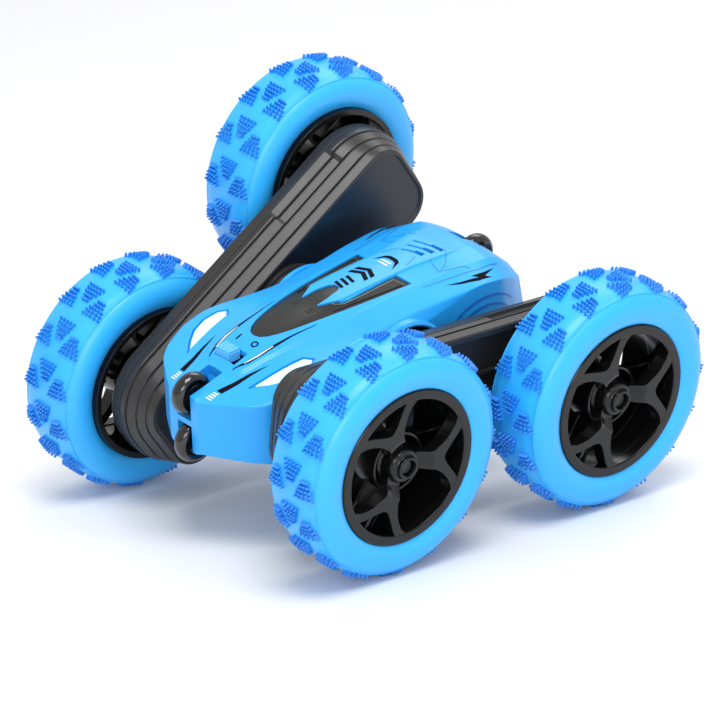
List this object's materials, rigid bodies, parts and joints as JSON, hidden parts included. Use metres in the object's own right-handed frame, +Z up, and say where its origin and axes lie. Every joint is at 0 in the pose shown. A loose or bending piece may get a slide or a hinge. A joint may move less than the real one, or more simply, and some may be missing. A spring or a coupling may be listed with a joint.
{
  "type": "remote control stunt car",
  "caption": "Double-sided remote control stunt car with side arms that turn right round, studded tyres and geared wheels, posed with one arm raised.",
  "frame": {"origin": "middle of the bounding box's bottom face, on the ground", "axes": "+X towards the nose, +Y towards the car's left side, +Z up"},
  "size_m": [0.151, 0.1562, 0.12],
  "materials": {
    "body_blue": "glossy injection-moulded shell",
    "tyre_blue": "satin soft rubber",
    "gloss_black": "glossy black",
    "arm_black": "satin charcoal",
    "gear_nylon": "natural nylon",
    "steel": "plain steel",
    "window_smoke": "smoked, glossy",
    "lens_clear": "clear, lit from behind",
    "battery_wrap": "shrink wrap",
    "board_green": "solder mask"
  },
  "bodies": {
    "car_body": {"top_shell": "body_blue", "bottom_shell": "body_blue", "chassis": "arm_black", "battery_pack": "battery_wrap", "circuit_board": "board_green", "canopy": "window_smoke", "battery_door": "window_smoke", "battery_door_screw": "steel", "switch_body": "arm_black", "left_gearbox": "arm_black", "right_gearbox": "arm_black", "left_motor": "steel", "right_motor": "steel", "left_friction_washer": "steel", "right_friction_washer": "steel", "front_upper_roller_pin": "steel", "front_lower_roller_pin": "steel", "rear_upper_roller_pin": "steel", "rear_lower_roller_pin": "steel", "left_upper_headlight_lens": "lens_clear", "left_lower_headlight_lens": "lens_clear", "right_upper_headlight_lens": "lens_clear", "right_lower_headlight_lens": "lens_clear"},
    "power_switch": {"switch_knob": "body_blue"},
    "front_upper_roller": {"front_upper_roller": "gloss_black"},
    "front_lower_roller": {"front_lower_roller": "gloss_black"},
    "rear_upper_roller": {"rear_upper_roller": "gloss_black"},
    "rear_lower_roller": {"rear_lower_roller": "gloss_black"},
    "left_arm": {"left_arm_housing": "arm_black", "left_arm_cover": "arm_black", "left_arm_retainer": "gear_nylon", "left_front_screw": "steel", "left_rear_screw": "steel"},
    "left_front_wheel": {"left_front_tyre": "tyre_blue", "left_front_rim": "gloss_black", "left_front_axle_gear": "gear_nylon"},
    "left_rear_wheel": {"left_rear_tyre": "tyre_blue", "left_rear_rim": "gloss_black", "left_rear_axle_gear": "gear_nylon"},
    "left_front_idler": {"left_front_idler": "gear_nylon"},
    "left_rear_idler": {"left_rear_idler": "gear_nylon"},
    "left_drive_shaft": {"left_drive_shaft": "gear_nylon"},
    "right_arm": {"right_arm_housing": "arm_black", "right_arm_cover": "arm_black", "right_arm_retainer": "gear_nylon", "right_front_screw": "steel", "right_rear_screw": "steel"},
    "right_front_wheel": {"right_front_tyre": "tyre_blue", "right_front_rim": "gloss_black", "right_front_axle_gear": "gear_nylon"},
    "right_rear_wheel": {"right_rear_tyre": "tyre_blue", "right_rear_rim": "gloss_black", "right_rear_axle_gear": "gear_nylon"},
    "right_front_idler": {"right_front_idler": "gear_nylon"},
    "right_rear_idler": {"right_rear_idler": "gear_nylon"},
    "right_drive_shaft": {"right_drive_shaft": "gear_nylon"}
  },
  "joints": [
    {"name": "power_switch_slide", "type": "slide", "parent": "car_body", "child": "power_switch", "axis": [0, 0.9788, -0.2047], "range_m": [0, 0.0026]},
    {"name": "front_upper_roller_spin", "type": "hinge", "parent": "car_body", "child": "front_upper_roller", "pos_m": [0.06048, 0.00234, 0.04675], "axis": [0, 0.9788, -0.2047], "continuous": true},
    {"name": "front_lower_roller_spin", "type": "hinge", "parent": "car_body", "child": "front_lower_roller", "pos_m": [0.05826, -0.00077, 0.03183], "axis": [0, 0.9788, -0.2047], "continuous": true},
    {"name": "rear_upper_roller_spin", "type": "hinge", "parent": "car_body", "child": "rear_upper_roller", "pos_m": [-0.04492, 0.00617, 0.06506], "axis": [0, 0.9788, -0.2047], "continuous": true},
    {"name": "rear_lower_roller_spin", "type": "hinge", "parent": "car_body", "child": "rear_lower_roller", "pos_m": [-0.0481, 0.00172, 0.04376], "axis": [0, 0.9788, -0.2047], "continuous": true},
    {"name": "left_arm_turn", "type": "hinge", "parent": "car_body", "child": "left_arm", "pos_m": [0, 0.00256, 0.04777], "axis": [0, 0.9788, -0.2047], "continuous": true},
    {"name": "left_front_wheel_spin", "type": "hinge", "parent": "left_arm", "child": "left_front_wheel", "pos_m": [0.0405, 0.03848, 0.04026], "axis": [0, 0.9788, -0.2047], "continuous": true},
    {"name": "left_rear_wheel_spin", "type": "hinge", "parent": "left_arm", "child": "left_rear_wheel", "pos_m": [-0.0405, 0.03848, 0.04026], "axis": [0, 0.9788, -0.2047], "continuous": true},
    {"name": "left_front_idler_spin", "type": "hinge", "parent": "left_arm", "child": "left_front_idler", "pos_m": [0.018, 0.03848, 0.04026], "axis": [0, 0.9788, -0.2047], "continuous": true},
    {"name": "left_rear_idler_spin", "type": "hinge", "parent": "left_arm", "child": "left_rear_idler", "pos_m": [-0.018, 0.03848, 0.04026], "axis": [0, 0.9788, -0.2047], "continuous": true},
    {"name": "left_drive_shaft_spin", "type": "hinge", "parent": "left_arm", "child": "left_drive_shaft", "pos_m": [0, 0.03848, 0.04026], "axis": [0, 0.9788, -0.2047], "continuous": true},
    {"name": "right_arm_turn", "type": "hinge", "parent": "car_body", "child": "right_arm", "pos_m": [0, 0.00256, 0.04777], "axis": [0, 0.9788, -0.2047], "continuous": true},
    {"name": "right_front_wheel_spin", "type": "hinge", "parent": "right_arm", "child": "right_front_wheel", "pos_m": [0.03187, -0.03848, 0.03082], "axis": [0, 0.9788, -0.2047], "continuous": true},
    {"name": "right_rear_wheel_spin", "type": "hinge", "parent": "right_arm", "child": "right_rear_wheel", "pos_m": [-0.03187, -0.02825, 0.07974], "axis": [0, 0.9788, -0.2047], "continuous": true},
    {"name": "right_front_idler_spin", "type": "hinge", "parent": "right_arm", "child": "right_front_idler", "pos_m": [0.01417, -0.03564, 0.04441], "axis": [0, 0.9788, -0.2047], "continuous": true},
    {"name": "right_rear_idler_spin", "type": "hinge", "parent": "right_arm", "child": "right_rear_idler", "pos_m": [-0.01417, -0.03109, 0.06615], "axis": [0, 0.9788, -0.2047], "continuous": true},
    {"name": "right_drive_shaft_spin", "type": "hinge", "parent": "right_arm", "child": "right_drive_shaft", "pos_m": [0, -0.03336, 0.05528], "axis": [0, 0.9788, -0.2047], "continuous": true}
  ],
  "couplings": [
    {"joint": "left_rear_wheel_spin", "follows": "left_front_wheel_spin", "ratio": 1},
    {"joint": "left_front_idler_spin", "follows": "left_front_wheel_spin", "ratio": -1.5},
    {"joint": "left_rear_idler_spin", "follows": "left_front_wheel_spin", "ratio": -1.5},
    {"joint": "left_drive_shaft_spin", "follows": "left_front_wheel_spin", "ratio": 1.5},
    {"joint": "right_rear_wheel_spin", "follows": "right_front_wheel_spin", "ratio": 1},
    {"joint": "right_front_idler_spin", "follows": "right_front_wheel_spin", "ratio": -1.5},
    {"joint": "right_rear_idler_spin", "follows": "right_front_wheel_spin", "ratio": -1.5},
    {"joint": "right_drive_shaft_spin", "follows": "right_front_wheel_spin", "ratio": 1.5}
  ]
}
